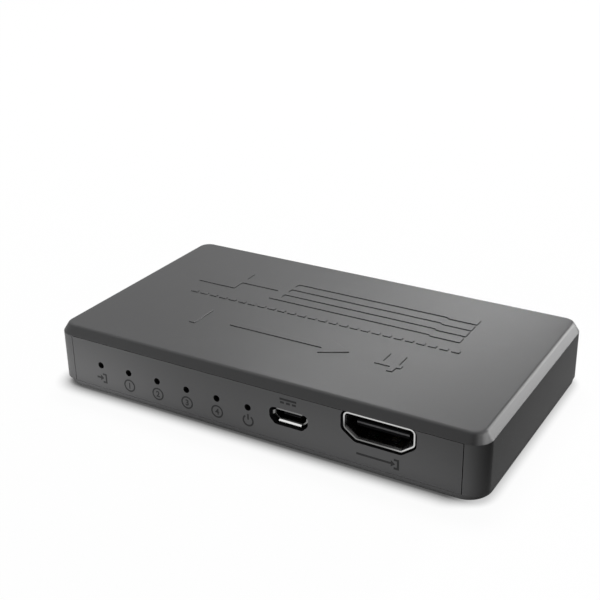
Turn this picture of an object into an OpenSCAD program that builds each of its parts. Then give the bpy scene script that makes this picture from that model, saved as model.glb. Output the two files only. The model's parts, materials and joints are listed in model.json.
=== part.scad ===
// Video signal splitter: one input socket in front and four output sockets behind.
// Origin at the middle of the base, on the surface that it stands on.
// +X to the right, -Y to the front, +Z up. All sizes in millimetres.

/* [Case] */
// Width of the case, left to right
case_w = 100; // [92:0.5:130]
// Depth of the case, front to back
case_d = 56.7; // [52:0.1:80]
// Height of the case
case_h = 14.6; // [14:0.1:20]
// Radius of the upright corners
corner_r = 3.8; // [3.2:0.1:6]
// How far the bevelled rim of the roof comes in
rim_run = 1.3; // [0.8:0.1:2]
// How far the bevelled rim comes down
rim_drop = 2; // [1.6:0.1:2.6]
// Softening radius of the moulded edges
edge_r = 0.3; // [0.1:0.05:0.4]
// Softening radius where the roof meets its bevelled rim
crown_r = 0.9; // [0.3:0.1:1.2]
// Thickness of the side walls and of the end panels
wall_t = 1.8; // [1.4:0.1:2.2]
// Thickness of the roof
roof_t = 1.6; // [1.2:0.1:2]
// Thickness of the bottom cover, up to the parting line
base_t = 1.7; // [1.5:0.1:2.2]
// Radius under the bottom cover's outer edge
base_r = 1.5; // [0.6:0.1:1.7]
// How much rounder the base's corners are in plan than the cover's
base_corner_extra = 1.4; // [0:0.1:2]
// Width of the shadow groove between mouldings
seam_gap = 0.06; // [0.04:0.01:0.3]
// Depth of the shadow groove round the base
seam_depth = 0.7; // [0.4:0.1:1]

/* [End panels] */
// Distance of the panel's side seam from the side of the case
panel_inset = 4.2; // [4:0.1:6]
// Gap at each end of the panel
side_gap = 0.17; // [0.05:0.01:0.3]
// Gap between the panel and the roof's rim
top_gap = 0.1; // [0.03:0.01:0.2]
// Thickness of the flange behind the panel
flange_t = 1.2; // [1:0.1:1.6]
// How far the flange reaches behind the corners
flange_reach = 1; // [0.6:0.1:1.4]
// Running clearance of the flange in its slot
slide_gap = 0.15; // [0.1:0.01:0.25]
// Thickness of the rib that closes the slot from inside
rib_t = 1.2; // [0.8:0.1:1.6]
// How far that rib stands behind the flange
rib_reach = 2; // [1.2:0.1:2.6]
// Height of the locating lip on the bottom cover
lip_h = 1.6; // [1:0.1:1.8]
// Thickness of the locating lip
lip_t = 0.9; // [0.7:0.1:1.2]

/* [Screws] */
// Distance of the screws from the sides of the case
screw_inset_x = 6.6; // [6.4:0.1:7]
// Distance of the screws from the front and back of the case
screw_inset_y = 8.6; // [8:0.1:11]
// Diameter of the screw's shank
screw_d = 2.3; // [2:0.1:2.6]
// Length of the screw under its head
screw_len = 8; // [7:0.5:9]
// Diameter of the screw's head
head_d = 4; // [3.6:0.1:4.4]
// Height of the screw's head
head_h = 1.3; // [1:0.1:1.5]
// How deep the head lies in the base
head_sink = 0.4; // [0.2:0.1:0.6]
// Diameter of the roof's screw bosses
boss_d = 5; // [4.4:0.1:5.4]
// Diameter of the posts that carry the board
post_d = 6.2; // [5.8:0.1:6.4]
// Clearance round the shank in the post and the board
hole_gap = 0.25; // [0.15:0.05:0.35]
// Clearance round the shank in the boss
pilot_gap = 0.05; // [0.03:0.01:0.1]

/* [Board] */
// Thickness of the circuit board
board_t = 1.6; // [1:0.1:1.8]
// Clearance from the board's edge to the case
board_gap = 0.35; // [0.2:0.05:0.6]

/* [Video sockets] */
// Inside width of the socket's mouth
video_w = 14; // [13.5:0.1:14.5]
// Inside height of the socket's mouth
video_h = 4.55; // [4.3:0.05:4.8]
// How far the lower bevels come in
video_bevel_run = 2.4; // [2:0.1:2.8]
// How far the lower bevels reach up
video_bevel_rise = 1.75; // [1.4:0.05:2]
// Inside radius of the socket's corners
video_corner_r = 0.55; // [0.4:0.05:0.6]
// Thickness of the socket's sheet metal
shell_t = 0.3; // [0.25:0.05:0.4]
// How far the mouth flares out
flare = 0.2; // [0.05:0.05:0.3]
// Length of the flare
flare_len = 0.5; // [0.3:0.1:0.8]
// Length of the socket, mouth to rear
video_depth = 11.2; // [10.5:0.1:12]
// Height of the mouth's centre above the board
video_lift = 3.65; // [3.3:0.05:3.7]
// How far the mouth lies behind the panel's face
video_recess = 0.3; // [0.1:0.05:0.5]
// Gap round the mouth in the panel
socket_gap = 0.45; // [0.2:0.05:0.6]
// Gap between the mouth and the roof's rim
rim_gap = 0.25; // [0.2:0.05:0.6]
// Distance of the input socket's centre from the right side of the case
video_in_inset = 21.4; // [19:0.1:23]
// Gap between the outer output sockets and the screw bosses
out_gap = 0.6; // [0.4:0.1:2]
// Width of the contact tongue
tongue_w = 11; // [10.6:0.1:11.4]
// Thickness of the contact tongue
tongue_t = 1.3; // [1.1:0.1:1.5]
// How far the tongue's middle lies under the mouth's centre
tongue_drop = 0.2; // [0:0.05:0.3]
// How far the tongue's tip lies behind the mouth
tongue_back = 1.9; // [1.6:0.1:2.2]
// Length of the moulded block behind the tongue
block_len = 3; // [2.4:0.1:3.4]
// Pitch of the contacts in a row
contact_pitch = 1; // [0.9:0.02:1.04]
// Width of a contact
contact_w = 0.4; // [0.25:0.05:0.45]
// Thickness of a contact
contact_t = 0.2; // [0.15:0.05:0.25]
// Width of a spring finger
finger_w = 1.6; // [1.2:0.1:2]
// Length of a spring finger
finger_len = 4; // [3:0.1:4.5]
// Distance between the two spring fingers of a wall
finger_pitch = 4.9; // [4:0.1:5.6]
// How far a spring finger dips into the mouth
finger_dip = 0.45; // [0.3:0.05:0.6]
// Slot round a spring finger
finger_gap = 0.25; // [0.2:0.05:0.4]

/* [Power socket] */
// Distance between the power socket's and the input socket's centres
power_spacing = 19.55; // [18:0.05:21]
// Inside width of the power socket's mouth
power_w = 6.9; // [6.6:0.1:7.2]
// Inside height of the power socket's mouth
power_h = 1.85; // [1.75:0.05:2.1]
// Size of the power socket's lower bevels
power_bevel = 0.75; // [0.5:0.05:0.9]
// Thickness of the power socket's sheet metal
power_t = 0.3; // [0.2:0.05:0.35]
// Length of the power socket
power_depth = 5.4; // [5:0.1:6]
// How far its mouth lies behind the panel's face
power_recess = 0.6; // [0.4:0.1:1.2]
// Length of the mouth's four lips
power_lip_len = 0.6; // [0.4:0.1:0.8]
// How far the lips flare out
power_lip_rise = 0.3; // [0.2:0.02:0.42]
// Gap between the lips and the panel's opening
power_gap = 0.36; // [0.2:0.02:0.5]
// Width of the power socket's tongue
power_tongue_w = 3.7; // [3.4:0.1:4]
// Pitch of the power socket's contacts
power_pitch = 0.65; // [0.6:0.01:0.7]

/* [Indicator lamps] */
// Distance of the first lamp from the left side of the case
lamp_inset = 11.85; // [11:0.05:14]
// Distance between the last lamp and the power socket
lamp_power_gap = 9.5; // [7.5:0.05:11]
// Diameter of the lamp holes
lamp_hole_d = 1.5; // [1:0.1:2]
// Height of the lamps' axis above the board
lamp_lift = 1.3; // [1:0.05:1.4]
// Width of a lamp's housing
lamp_w = 3; // [2.6:0.1:3.4]
// Depth of a lamp's housing
lamp_t = 1.2; // [1:0.1:1.4]

/* [Board parts] */
// Side of the splitter chip's body
chip_w = 10; // [9:0.5:12]
// Leads on each side of the splitter chip
chip_leads = 16; // [12:1:18]
// Pitch of the splitter chip's leads
chip_pitch = 0.5; // [0.45:0.01:0.55]
// Length of the crystal's can
crystal_w = 10.8; // [10:0.2:11.4]
// Diameter of the bulk capacitors
bulk_d = 5; // [4:0.2:5.4]
// Height of the bulk capacitors
bulk_h = 5.2; // [4:0.2:5.6]

/* [Hidden] */
$fn = 64;
arc_steps = 5;
cut = 1;
fit_gap = 0.05;

// Heights in the case, from the rim down to the board and its posts
seam_r = edge_r / 6;
rim_z = case_h - rim_drop;
roof_z = case_h - roof_t;
mouth_grow = shell_t + flare;
video_z = rim_z - rim_gap - video_h / 2 - mouth_grow;
board_top = video_z - video_lift;
board_z = board_top - board_t;

// Widths and depths of the case
opening_w = case_w - 2 * panel_inset;
flange_w = opening_w + 2 * flange_reach;
flange_y = wall_t + slide_gap;
rib_y = flange_y + flange_t + slide_gap;
inner_w = case_w - 2 * wall_t;
board_w = inner_w - 2 * board_gap;
board_d = case_d - 2 * (flange_y + flange_t + board_gap);
notch_w = case_w / 2 - (flange_w / 2 - rib_reach - board_gap);
notch_d = rib_y + rib_t + board_gap;

// Screws
screw_x = case_w / 2 - screw_inset_x;
screw_y = case_d / 2 - screw_inset_y;
seat_z = head_sink + head_h;
tip_room = 1;

// Places of the sockets and the lamps along the panels
video_in_x = case_w / 2 - video_in_inset;
out_count = 4;
out_reach = screw_x - boss_d / 2 - out_gap - video_w / 2 - mouth_grow;
out_pitch = 2 * out_reach / (out_count - 1);
power_x = video_in_x - power_spacing;
power_z = power_h / 2 + power_t + fit_gap;
lamp_names = ["in", "1", "2", "3", "4", "power"];
lamp_first = -case_w / 2 + lamp_inset;
lamp_pitch = (power_x - lamp_power_gap - lamp_first) / (len(lamp_names) - 1);

// Legs that hold the sockets in the board
leg_w = 1;
leg_out = 0.7;
leg_gap = 0.15;
video_legs = [4.4, 9.2];
power_legs = [3.6];

// Contacts of the sockets
foot_len = 1;
foot_back = 0.5;
block_back = 0.2;
tip_bevel = 0.2;
tip_drop = 0.5;
finger_start = 1.7;
contact_start = 1;
upper_row = 10;
lower_row = 9;
power_row = 5;
power_tongue_t = 0.6;
power_tongue_rise = 0.2;
power_tongue_back = 1.1;
power_block = 1.2;
power_contact_w = 0.3;

// Leads and bodies on the board
lead_t = 0.15;
lead_w = 0.25;
lead_path = [[0, 0.8], [0.3, 0.8], [0.6, lead_t / 2], [1.1, lead_t / 2]];
body_lift = 0.1;
chip_h = 1.4;
chip_xy = [3, 0];
memory_size = [5, 4, 1.5];
memory_pitch = 1.27;
memory_xy = [-13, -6];
regulator_size = [6.5, 3.5, 1.6];
regulator_pitch = 2.3;
regulator_xy = [20, -7];
inductor_w = 5;
inductor_h = 2.8;
inductor_xy = [28, -6];
crystal_size = [crystal_w, 4.6, 3.5];
crystal_xy = [-14, 3];
bulk_places = [[17, 4], [25, 4]];
bulk_base_h = 0.8;
ceramic_size = [1.6, 0.8, 0.8];
ceramic_pitch = 2.4;
ceramic_off = 2.4;
resistor_size = [1.6, 0.8, 0.45];
resistor_off = 2;
surge_size = [2.5, 1, 0.55];

video_ports = concat(["video_in"], [for (k = [1 : out_count]) str("video_out_", k)]);

// Outlines and strips

function unit(v) = v / norm(v);
function turned(v, a) = [v.x * cos(a) - v.y * sin(a), v.x * sin(a) + v.y * cos(a)];
function flat(p) = [p.x, p.y];

// Arc of radius b.z that rounds corner b between its neighbours a and c
function corner_arc(a, b, c) =
    b.z == 0 ? [flat(b)] :
    let (
        u = unit(flat(a) - flat(b)),
        v = unit(flat(c) - flat(b)),
        half = acos(u * v) / 2,
        centre = flat(b) + unit(u + v) * b.z / sin(half),
        start = flat(b) + u * b.z / tan(half) - centre,
        sweep = -sign(cross(u, v)) * (180 - 2 * half)
    )
    [for (k = [0 : arc_steps]) centre + turned(start, sweep * k / arc_steps)];

// Closed outline through corners [x, y, radius]
function rounded(c) =
    [for (i = [0 : len(c) - 1])
        each corner_arc(c[(i + len(c) - 1) % len(c)], c[i], c[(i + 1) % len(c)])];

// Outline of a bent strip of thickness t whose middle follows a path
function mitre(path, i) =
    let (
        last = len(path) - 1,
        before = unit(path[max(i, 1)] - path[max(i, 1) - 1]),
        after = unit(path[min(i, last - 1) + 1] - path[min(i, last - 1)]),
        along = unit(before + after)
    )
    [-along.y, along.x] / (along * before);
function strip_side(path, off) = [for (i = [0 : len(path) - 1]) path[i] + mitre(path, i) * off];
function reversed(list) = [for (i = [len(list) - 1 : -1 : 0]) list[i]];
function strip(path, t) = concat(strip_side(path, -t / 2), reversed(strip_side(path, t / 2)));

// Mouth of a socket with two lower bevels, grown outwards by g, about its own centre
function socket_outline(w, h, run, rise, r, g) =
    let (
        slope = atan2(rise, run),
        side = w / 2 + g,
        top = h / 2 + g,
        knee = -h / 2 + rise - g * tan((90 - slope) / 2),
        toe = w / 2 - run + g * tan(slope / 2)
    )
    rounded([[-side, top, r + g], [-side, knee, r + g], [-toe, -top, r + g],
             [toe, -top, r + g], [side, knee, r + g], [side, top, r + g]]);
function video_outline(g) =
    socket_outline(video_w, video_h, video_bevel_run, video_bevel_rise, video_corner_r, g);
function power_outline(g) =
    socket_outline(power_w, power_h, power_bevel, power_bevel, power_bevel / 3, g);

// Shared forms

// Stands a profile drawn in X and Z up and extrudes it backwards from y
module deepen(y, depth) {
    translate([0, y + depth, 0])
        rotate([90, 0, 0])
            linear_extrude(depth)
                children();
}

// Extrudes a profile drawn in Y and Z to both sides of X
module widen(w) {
    rotate([90, 0, 90])
        linear_extrude(w, center = true)
            children();
}

// Solid between two outlines of equal length, in X and Z, at two depths
module loft(front, back, y_front, y_back) {
    n = len(front);
    polyhedron(
        points = concat([for (p = front) [p.x, y_front, p.y]], [for (p = back) [p.x, y_back, p.y]]),
        faces = concat(
            [[for (i = [n - 1 : -1 : 0]) i], [for (i = [n : 2 * n - 1]) i]],
            [for (i = [0 : n - 1]) [i, (i + 1) % n, n + (i + 1) % n, n + i]]));
}

module rounded_plan(w, d, r) {
    square([w - 2 * r, d], center = true);
    square([w, d - 2 * r], center = true);
    for (x = [-1, 1])
        for (y = [-1, 1])
            translate([x * (w / 2 - r), y * (d / 2 - r)])
                circle(r);
}

// Solid on the case's plan with corners of radius r, whose edge has a profile measured out from the corner's axis
module case_solid(profile, low, high, r) {
    core = [case_w - 2 * r, case_d - 2 * r];
    for (k = [0 : 3]) {
        out = core[k % 2] / 2;
        along = core[(k + 1) % 2];
        rotate(90 * k)
            translate([out, along / 2, 0]) {
                rotate_extrude(angle = 90)
                    polygon(profile);
                rotate([90, 0, 0])
                    linear_extrude(along)
                        polygon(profile);
            }
    }
    translate([0, 0, low])
        linear_extrude(high - low)
            square(core, center = true);
}

module at_screws() {
    for (x = [-screw_x, screw_x])
        for (y = [-screw_y, screw_y])
            translate([x, y, 0])
                children();
}

// Frame of a video socket: its mouth at y = 0, the board's face at z = 0; port 0 is the input
module at_video(port) {
    if (port == 0)
        translate([video_in_x, -case_d / 2 + video_recess, board_top])
            children();
    else
        translate([out_reach - (port - 1) * out_pitch, case_d / 2 - video_recess, board_top])
            rotate(180)
                children();
}

module at_power() {
    translate([power_x, -case_d / 2 + power_recess, board_top])
        children();
}

// Frame of a lamp: its axis at the board's front edge
module at_lamp(k) {
    translate([lamp_first + k * lamp_pitch, -board_d / 2, board_top])
        children();
}

module on_board(xy) {
    translate([xy.x, xy.y, board_top])
        children();
}

// Case

module top_cover() {
    profile = rounded([
        [0, base_t, 0],
        [corner_r - seam_depth, base_t, 0],
        [corner_r - seam_depth, base_t + seam_gap, 0],
        [corner_r, base_t + seam_gap, seam_r],
        [corner_r, rim_z, edge_r],
        [corner_r - rim_run, case_h, crown_r],
        [0, case_h, 0]]);
    color("dimgray")
        difference() {
            union() {
                difference() {
                    case_solid(profile, base_t, case_h, corner_r);
                    translate([0, 0, base_t - cut])
                        linear_extrude(roof_z - base_t + cut)
                            rounded_plan(inner_w, case_d - 2 * wall_t, corner_r - wall_t);
                    for (turn = [0, 180])
                        rotate(turn) {
                            translate([-opening_w / 2, -case_d / 2 - cut, base_t - cut])
                                cube([opening_w, wall_t + 2 * cut, rim_z - base_t + cut]);
                            translate([-flange_w / 2 - slide_gap, -case_d / 2 + wall_t, base_t - cut])
                                cube([flange_w + 2 * slide_gap, flange_t + 2 * slide_gap,
                                      roof_z - base_t + cut]);
                        }
                }
                panel_ribs();
                at_screws()
                    translate([0, 0, board_top])
                        cylinder(d = boss_d, h = roof_z - board_top + roof_t / 2);
            }
            at_screws()
                translate([0, 0, board_top - cut])
                    cylinder(d = screw_d + 2 * pilot_gap, h = seat_z + screw_len + tip_room - board_top + cut);
        }
}

// Upright ribs that close the panels' slots from inside
module panel_ribs() {
    reach = inner_w / 2 - flange_w / 2 + rib_reach + wall_t / 2;
    for (turn = [0, 180])
        for (side = [0, 1])
            rotate(turn)
                mirror([side, 0, 0])
                    translate([flange_w / 2 - rib_reach, -case_d / 2 + rib_y, base_t])
                        cube([reach, rib_t, roof_z - base_t + roof_t / 2]);
}

module bottom_cover() {
    base_corner = corner_r + base_corner_extra;
    profile = rounded([
        [0, 0, 0],
        [base_corner, 0, min(base_r, base_t - seam_r)],
        [base_corner, base_t, seam_r],
        [0, base_t, 0]]);
    lip_len = case_d - 2 * (rib_y + rib_t + slide_gap);
    lip_x = inner_w / 2 - slide_gap - lip_t;
    color("dimgray")
        difference() {
            union() {
                case_solid(profile, 0, base_t, base_corner);
                at_screws()
                    cylinder(d = post_d, h = board_z);
                for (side = [0, 1])
                    mirror([side, 0, 0])
                        translate([lip_x, -lip_len / 2, base_t / 2])
                            cube([lip_t, lip_len, base_t / 2 + lip_h]);
            }
            at_screws() {
                translate([0, 0, -cut])
                    cylinder(d = head_d + 2 * hole_gap, h = seat_z + cut);
                cylinder(d = screw_d + 2 * hole_gap, h = board_z + cut);
            }
        }
}

// Plate flush with the case and the wider flange behind it, at the front
module panel_blank() {
    plate_w = opening_w - 2 * side_gap;
    plate_h = rim_z - base_t - seam_gap - top_gap;
    translate([-plate_w / 2, -case_d / 2, base_t + seam_gap])
        cube([plate_w, flange_y + flange_t, plate_h]);
    translate([-flange_w / 2, -case_d / 2 + flange_y, base_t])
        cube([flange_w, flange_t, roof_z - slide_gap - base_t]);
}

// Opening round a video socket's mouth; behind the plate it is open to the flange's top
module video_opening() {
    grow = mouth_grow + socket_gap;
    translate([0, -video_recess - cut, video_lift]) {
        deepen(0, flange_y + flange_t + 2 * cut)
            polygon(video_outline(grow));
        translate([-video_w / 2 - grow, flange_y + cut, 0])
            cube([video_w + 2 * grow, flange_t + cut, roof_z - video_z]);
    }
}

module front_panel() {
    color("dimgray")
        difference() {
            panel_blank();
            at_video(0)
                video_opening();
            at_power()
                translate([0, -power_recess - cut, power_z])
                    deepen(0, flange_y + flange_t + 2 * cut)
                        polygon(power_outline(power_t + power_lip_rise + power_gap));
            for (k = [0 : len(lamp_names) - 1])
                at_lamp(k)
                    translate([0, cut, lamp_lift])
                        rotate([90, 0, 0])
                            cylinder(d = lamp_hole_d, h = case_d / 2);
        }
}

module rear_panel() {
    color("dimgray")
        difference() {
            rotate(180)
                panel_blank();
            for (port = [1 : out_count])
                at_video(port)
                    video_opening();
        }
}

// Pan head with a cross recess over a plain shank
module case_screws() {
    recess_w = head_d / 6;
    recess_l = head_d * 0.55;
    color("silver")
        at_screws() {
            difference() {
                translate([0, 0, head_sink])
                    cylinder(d = head_d, h = head_h);
                for (turn = [0, 90])
                    rotate(turn)
                        translate([-recess_l / 2, -recess_w / 2, 0])
                            cube([recess_l, recess_w, head_sink + head_h / 2]);
            }
            translate([0, 0, seat_z])
                cylinder(d = screw_d, h = screw_len);
        }
}

// Board and what stands on it

module leg_slots(x, places, t) {
    for (side = [-1, 1])
        for (y = places)
            translate([side * x - t / 2 - leg_gap, y - leg_gap, -board_t - cut])
                cube([t + 2 * leg_gap, leg_w + 2 * leg_gap, board_t + 2 * cut]);
}

module circuit_board() {
    color("darkgreen")
        difference() {
            translate([-board_w / 2, -board_d / 2, board_z])
                cube([board_w, board_d, board_t]);
            for (x = [0, 1])
                for (y = [0, 1])
                    mirror([x, 0, 0])
                        mirror([0, y, 0])
                            translate([case_w / 2 - notch_w, case_d / 2 - notch_d, board_z - cut])
                                cube([notch_w, notch_d, board_t + 2 * cut]);
            at_screws()
                translate([0, 0, board_z - cut])
                    cylinder(d = screw_d + 2 * hole_gap, h = board_t + 2 * cut);
            for (port = [0 : out_count])
                at_video(port)
                    leg_slots((video_w + shell_t) / 2, video_legs, shell_t);
            at_power()
                leg_slots((power_w + power_t) / 2, power_legs, power_t);
        }
}

// Legs folded down from a socket's side walls, through the board
module socket_legs(w, t, places, top) {
    for (side = [-1, 1])
        for (y = places)
            translate([side * (w + t) / 2 - t / 2, y, -board_t - leg_out])
                cube([t, leg_w, board_t + leg_out + top]);
}

// Spring finger of the upper wall: cut free on three sides and bent into the mouth
module finger_strip() {
    wall_z = video_h / 2 + shell_t / 2;
    root = finger_start + finger_len;
    path = [[root + 2 * finger_gap, wall_z], [root, wall_z],
            [finger_start + finger_len * 0.3, wall_z - finger_dip],
            [finger_start + finger_gap, wall_z - finger_dip / 3]];
    widen(finger_w)
        polygon(strip(path, shell_t * 0.8));
}

module finger_window() {
    w = finger_w + 2 * finger_gap;
    translate([-w / 2, finger_start, video_h / 2 - cut / 2])
        cube([w, finger_len, shell_t + cut]);
}

module at_fingers() {
    for (wall = [0, 1])
        for (side = [-1, 1])
            mirror([0, 0, wall])
                translate([side * finger_pitch / 2, 0, 0])
                    children();
}

module video_shell() {
    color("silver") {
        translate([0, 0, video_lift])
            difference() {
                union() {
                    loft(video_outline(mouth_grow), video_outline(shell_t), 0, flare_len);
                    deepen(flare_len, video_depth - flare_len)
                        polygon(video_outline(shell_t));
                }
                loft(video_outline(2 * flare), video_outline(0), -flare_len, flare_len);
                deepen(flare_len, video_depth)
                    polygon(video_outline(0));
                at_fingers()
                    finger_window();
            }
        translate([0, 0, video_lift])
            at_fingers()
                finger_strip();
        socket_legs(video_w, shell_t, video_legs, video_lift);
    }
}

// Path of a contact, from the tongue's face through the block and down to the board
function contact_path(start, z, rear) =
    [[start, z], [rear, z], [rear, contact_t / 2], [rear + foot_len, contact_t / 2]];

module contact_row(count, pitch, path, w) {
    for (k = [0 : count - 1])
        translate([(k - (count - 1) / 2) * pitch, 0, 0])
            widen(w)
                polygon(strip(path, contact_t));
}

module video_contact_strips() {
    start = tongue_back + contact_start;
    middle = video_lift - tongue_drop;
    rear = video_depth + foot_back;
    contact_row(upper_row, contact_pitch, contact_path(start, middle + tongue_t / 2, rear), contact_w);
    contact_row(lower_row, contact_pitch, contact_path(start, middle - tongue_t / 2, rear), contact_w);
}

module video_contacts() {
    color("gold")
        video_contact_strips();
}

module video_tongue() {
    half = tongue_t / 2;
    block_y = video_depth - block_back - block_len;
    tongue = [[tongue_back, -half + tip_bevel], [tongue_back + tip_bevel, -half],
              [block_y + cut, -half], [block_y + cut, half],
              [tongue_back + tip_bevel, half], [tongue_back, half - tip_drop]];
    color("#151515")
        difference() {
            translate([0, 0, video_lift]) {
                deepen(block_y, block_len)
                    polygon(video_outline(-fit_gap));
                translate([0, 0, -tongue_drop])
                    widen(tongue_w)
                        polygon(tongue);
            }
            video_contact_strips();
        }
}

// One flared lip of the power socket's mouth, on the wall above the axis
module power_lip(w, wall_z) {
    path = [[power_lip_len + cut, wall_z], [power_lip_len, wall_z], [0, wall_z + power_lip_rise]];
    widen(w)
        polygon(strip(path, power_t * 0.9));
}

module power_inlet_shell() {
    lip_z = power_h / 2 + power_t / 2;
    lip_x = power_w / 2 + power_t / 2;
    color("silver")
        at_power() {
            translate([0, 0, power_z]) {
                difference() {
                    deepen(power_lip_len, power_depth - power_lip_len)
                        polygon(power_outline(power_t));
                    deepen(0, power_depth + cut)
                        polygon(power_outline(0));
                }
                power_lip(power_w - 4 * power_t, lip_z);
                rotate([0, 180, 0])
                    power_lip(power_w - 2 * power_bevel - power_t, lip_z);
                for (side = [-90, 90])
                    translate([0, 0, power_bevel / 2])
                        rotate([0, side, 0])
                            power_lip(power_h - power_bevel - power_t, lip_x);
            }
            socket_legs(power_w, power_t, power_legs, power_z);
        }
}

module power_contact_strips() {
    z = power_z + power_tongue_rise - power_tongue_t / 2;
    contact_row(power_row, power_pitch,
        contact_path(power_tongue_back + contact_start, z, power_depth + foot_back), power_contact_w);
}

module power_inlet_contacts() {
    color("gold")
        at_power()
            power_contact_strips();
}

module power_inlet_tongue() {
    block_y = power_depth - block_back - power_block;
    color("#151515")
        at_power()
            difference() {
                translate([0, 0, power_z]) {
                    deepen(block_y, power_block)
                        polygon(power_outline(-fit_gap));
                    translate([0, (power_tongue_back + block_y + cut) / 2, power_tongue_rise])
                        cube([power_tongue_w, block_y + cut - power_tongue_back, power_tongue_t],
                             center = true);
                }
                power_contact_strips();
            }
}

// Side-looking lamp: a white housing round a clear window, on the board's front edge
module lamp_housing(k) {
    h = 2 * lamp_lift - 2 * fit_gap;
    color("white")
        at_lamp(k)
            difference() {
                translate([-lamp_w / 2, 0, 0])
                    cube([lamp_w, lamp_t, h]);
                lamp_window_form();
            }
}

module lamp_window_form() {
    w = lamp_w * 0.7;
    h = lamp_lift;
    translate([-w / 2, 0, lamp_lift - h / 2])
        cube([w, lamp_t / 2, h]);
}

module lamp_windows() {
    color("lightyellow")
        for (k = [0 : len(lamp_names) - 1])
            at_lamp(k)
                lamp_window_form();
}

// Moulded body with bevelled upright edges and a dot by its first lead
module moulded_body(w, d, h) {
    bevel = 0.3;
    dot_d = 0.8;
    difference() {
        translate([0, 0, body_lift])
            linear_extrude(h)
                polygon(rounded([[-w / 2, -d / 2, bevel], [w / 2, -d / 2, bevel],
                                 [w / 2, d / 2, bevel], [-w / 2, d / 2, bevel]]));
        translate([-w / 2 + dot_d, d / 2 - dot_d, body_lift + h - 0.1])
            cylinder(d = dot_d, h = cut);
    }
}

// Row of gull-wing leads along one side, at a distance x from the body's middle
module lead_row(count, pitch, x, w) {
    for (k = [0 : count - 1])
        translate([0, (k - (count - 1) / 2) * pitch, 0])
            translate([x, 0, 0])
                rotate([90, 0, 0])
                    linear_extrude(w, center = true)
                        polygon(strip(lead_path, lead_t));
}

module splitter_chip() {
    color("#222222")
        on_board(chip_xy)
            moulded_body(chip_w, chip_w, chip_h);
}

module splitter_chip_leads() {
    color("silver")
        on_board(chip_xy)
            for (side = [0 : 3])
                rotate(90 * side)
                    lead_row(chip_leads, chip_pitch, chip_w / 2, lead_w);
}

module memory_chip() {
    color("#222222")
        on_board(memory_xy)
            moulded_body(memory_size.x, memory_size.y, memory_size.z);
}

module memory_chip_leads() {
    color("silver")
        on_board(memory_xy)
            for (side = [90, 270])
                rotate(side)
                    lead_row(4, memory_pitch, memory_size.y / 2, lead_w);
}

module voltage_regulator() {
    color("#222222")
        on_board(regulator_xy)
            moulded_body(regulator_size.x, regulator_size.y, regulator_size.z);
}

module regulator_leads() {
    tab_w = 3;
    color("silver")
        on_board(regulator_xy) {
            rotate(270)
                lead_row(3, regulator_pitch, regulator_size.y / 2, lead_w * 2);
            rotate(90)
                lead_row(1, regulator_pitch, regulator_size.y / 2, tab_w);
        }
}

// Shielded coil: a square ferrite block with a round core let into its top
module power_inductor() {
    r = inductor_w / 6;
    half = inductor_w / 2;
    groove = 0.3;
    color("#3a3a3a")
        on_board(inductor_xy)
            difference() {
                linear_extrude(inductor_h)
                    polygon(rounded([[-half, -half, r], [half, -half, r], [half, half, r], [-half, half, r]]));
                translate([0, 0, inductor_h - groove])
                    difference() {
                        cylinder(r = half - groove, h = cut);
                        cylinder(r = half - 2 * groove, h = cut);
                    }
            }
}

// Metal can with round ends on a thin flange
module crystal() {
    rim = 0.3;
    color("silver")
        on_board(crystal_xy) {
            linear_extrude(rim)
                stadium(crystal_size.x, crystal_size.y);
            linear_extrude(crystal_size.z)
                stadium(crystal_size.x - 2 * rim, crystal_size.y - 2 * rim);
        }
}

module stadium(w, d) {
    square([w - d, d], center = true);
    for (side = [-1, 1])
        translate([side * (w - d) / 2, 0])
            circle(d = d);
}

// Aluminium cans with a crimp, on square bases with two cut corners
module bulk_capacitors() {
    half = bulk_d / 2;
    crimp = 0.3;
    crimp_z = bulk_base_h + 0.8;
    color("silver")
        for (place = bulk_places)
            on_board(place) {
                linear_extrude(bulk_base_h)
                    polygon([[-half, -half], [half, -half], [half, half / 2], [half / 2, half],
                             [-half / 2, half], [-half, half / 2]]);
                rotate_extrude()
                    polygon([[0, 0], [half, 0], [half, crimp_z], [half - crimp, crimp_z + crimp],
                             [half, crimp_z + 2 * crimp], [half, bulk_h - crimp], [half - crimp, bulk_h],
                             [0, bulk_h]]);
            }
}

module chip_part(size) {
    translate([-size.x / 2, -size.y / 2, 0])
        cube(size);
}

// Decoupling capacitors on two sides of the splitter chip
module ceramic_capacitors() {
    row = 4;
    reach = chip_w / 2 + ceramic_off;
    color("#b08d57")
        for (side = [-1, 1])
            for (k = [0 : row - 1])
                on_board(chip_xy + [(k - (row - 1) / 2) * ceramic_pitch, side * reach])
                    chip_part(ceramic_size);
}

// One series resistor behind each lamp
module resistors() {
    behind = lamp_t + resistor_off;
    color("#1d1d1d")
        for (k = [0 : len(lamp_names) - 1])
            at_lamp(k)
                translate([0, behind, 0])
                    chip_part(resistor_size);
}

// Two surge arrays behind each video socket's contact feet
module surge_arrays() {
    behind = video_depth + foot_back + foot_len + 1.2;
    color("#222222")
        for (port = [0 : out_count])
            at_video(port)
                for (side = [-1, 1])
                    translate([side * surge_size.x, behind, 0])
                        chip_part(surge_size);
}

top_cover();
bottom_cover();
front_panel();
rear_panel();
case_screws();
circuit_board();
for (port = [0 : out_count]) {
    at_video(port) video_shell();
    at_video(port) video_tongue();
    at_video(port) video_contacts();
}
power_inlet_shell();
power_inlet_tongue();
power_inlet_contacts();
for (k = [0 : len(lamp_names) - 1])
    lamp_housing(k);
lamp_windows();
splitter_chip();
splitter_chip_leads();
memory_chip();
memory_chip_leads();
voltage_regulator();
regulator_leads();
power_inductor();
crystal();
bulk_capacitors();
ceramic_capacitors();
resistors();
surge_arrays();
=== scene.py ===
import json
import math

import bmesh
import bpy
from mathutils import Matrix, Vector


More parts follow.
